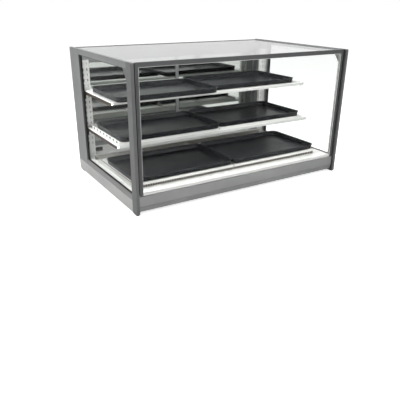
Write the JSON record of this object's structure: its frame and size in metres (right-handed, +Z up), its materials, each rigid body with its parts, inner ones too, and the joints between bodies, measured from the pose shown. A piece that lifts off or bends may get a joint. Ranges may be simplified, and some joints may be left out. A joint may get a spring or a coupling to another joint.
{
  "type": "countertop bakery display case",
  "caption": "Square glass countertop display case with a tilting front, sliding rear doors, two shelves and black trays on racks.",
  "frame": {"origin": "centre of the footprint on the counter top", "axes": "+Z up, the customer side with the tilting glass faces -Y, +X to the right seen from the front"},
  "size_m": [1.219, 0.762, 0.66],
  "materials": {
    "frame_grey": "satin anodised grey",
    "base_silver": "satin silver",
    "sash_grey": "satin dark grey",
    "clear_glass": "clear toughened",
    "black_rubber": "matt black",
    "white_coat": "gloss white powder coat",
    "rack_white": "satin white coat",
    "bracket_bronze": "satin dark bronze",
    "light_lens": "opal diffuser",
    "zinc_steel": "zinc plated",
    "black_plastic": "moulded black",
    "white_vinyl": "white vinyl strip",
    "nylon_white": "natural nylon",
    "door_mirror": "grey mirrored glass",
    "tray_black": "black satin moulded"
  },
  "bodies": {
    "case": {"left_front_post": "frame_grey", "left_rear_post": "frame_grey", "left_top_rail": "frame_grey", "left_base_rail": "base_silver", "right_front_post": "frame_grey", "right_rear_post": "frame_grey", "right_top_rail": "frame_grey", "right_base_rail": "base_silver", "left_end_glass": "clear_glass", "right_end_glass": "clear_glass", "end_glass_seals": "black_rubber", "front_base_rail": "base_silver", "front_top_rail": "frame_grey", "rear_header": "frame_grey", "rear_sill": "white_coat", "door_track": "frame_grey", "rear_base_rail": "base_silver", "top_glass": "clear_glass", "top_glass_ledges": "frame_grey", "deck": "white_coat", "deck_bearers": "zinc_steel", "bottom_pan": "zinc_steel", "foot_glides": "black_rubber", "pilasters": "white_coat", "shelf_brackets": "bracket_bronze", "mid_shelf": "white_coat", "top_shelf": "white_coat", "mid_racks": "rack_white", "bottom_racks": "rack_white", "shelf_light_channels": "white_coat", "shelf_light_lenses": "light_lens", "canopy_light_channel": "white_coat", "canopy_light_lens": "light_lens", "led_driver": "zinc_steel", "wire_loom": "black_rubber", "switch_housing": "black_plastic", "power_inlet": "black_plastic", "header_screws": "zinc_steel", "pivot_bushes": "black_plastic", "post_seals": "black_rubber", "catch_magnets": "zinc_steel"},
    "front_sash": {"sash_frame": "sash_grey", "front_glass": "clear_glass", "sash_glazing_strip": "white_vinyl", "pivot_pins": "zinc_steel", "catch_plates": "zinc_steel"},
    "left_door": {"left_door_frame": "frame_grey", "left_door_pane": "door_mirror", "left_door_glides": "nylon_white"},
    "right_door": {"right_door_frame": "frame_grey", "right_door_pane": "door_mirror", "right_door_glides": "nylon_white"},
    "shelf_light_switch": {"shelf_light_rocker": "black_plastic"},
    "canopy_light_switch": {"canopy_light_rocker": "black_plastic"},
    "bottom_left_tray_body": {"bottom_left_tray": "tray_black"},
    "bottom_right_tray_body": {"bottom_right_tray": "tray_black"},
    "mid_left_tray_body": {"mid_left_tray": "tray_black"},
    "mid_right_tray_body": {"mid_right_tray": "tray_black"},
    "top_left_tray_body": {"top_left_tray": "tray_black"},
    "top_right_tray_body": {"top_right_tray": "tray_black"}
  },
  "joints": [
    {"name": "front_sash_tilt", "type": "hinge", "parent": "case", "child": "front_sash", "pos_m": [0, -0.365, 0.094], "axis": [1, 0, 0], "range_deg": [0, 45]},
    {"name": "left_door_slide", "type": "slide", "parent": "case", "child": "left_door", "axis": [1, 0, 0], "range_m": [0, 0.57]},
    {"name": "right_door_slide", "type": "slide", "parent": "case", "child": "right_door", "axis": [-1, 0, 0], "range_m": [0, 0.57]},
    {"name": "shelf_light_rocker_tilt", "type": "hinge", "parent": "case", "child": "shelf_light_switch", "pos_m": [-0.522, 0.345, 0.108], "axis": [1, 0, 0], "range_deg": [0, 16]},
    {"name": "canopy_light_rocker_tilt", "type": "hinge", "parent": "case", "child": "canopy_light_switch", "pos_m": [-0.499, 0.345, 0.108], "axis": [1, 0, 0], "range_deg": [0, 16]},
    {"name": "bottom_left_tray_slide", "type": "slide", "parent": "case", "child": "bottom_left_tray_body", "axis": [0, 1, 0], "range_m": [-0.046, 0.184]},
    {"name": "bottom_right_tray_slide", "type": "slide", "parent": "case", "child": "bottom_right_tray_body", "axis": [0, 1, 0], "range_m": [-0.046, 0.254]},
    {"name": "mid_left_tray_slide", "type": "slide", "parent": "case", "child": "mid_left_tray_body", "axis": [0, 1, 0], "range_m": [-0.163, 0.072]},
    {"name": "mid_right_tray_slide", "type": "slide", "parent": "case", "child": "mid_right_tray_body", "axis": [0, 1, 0], "range_m": [-0.18, 0.13]},
    {"name": "top_left_tray_slide", "type": "slide", "parent": "case", "child": "top_left_tray_body", "axis": [0, 1, 0], "range_m": [-0.175, 0.05]},
    {"name": "top_right_tray_slide", "type": "slide", "parent": "case", "child": "top_right_tray_body", "axis": [0, 1, 0], "range_m": [-0.232, 0.073]}
  ]
}
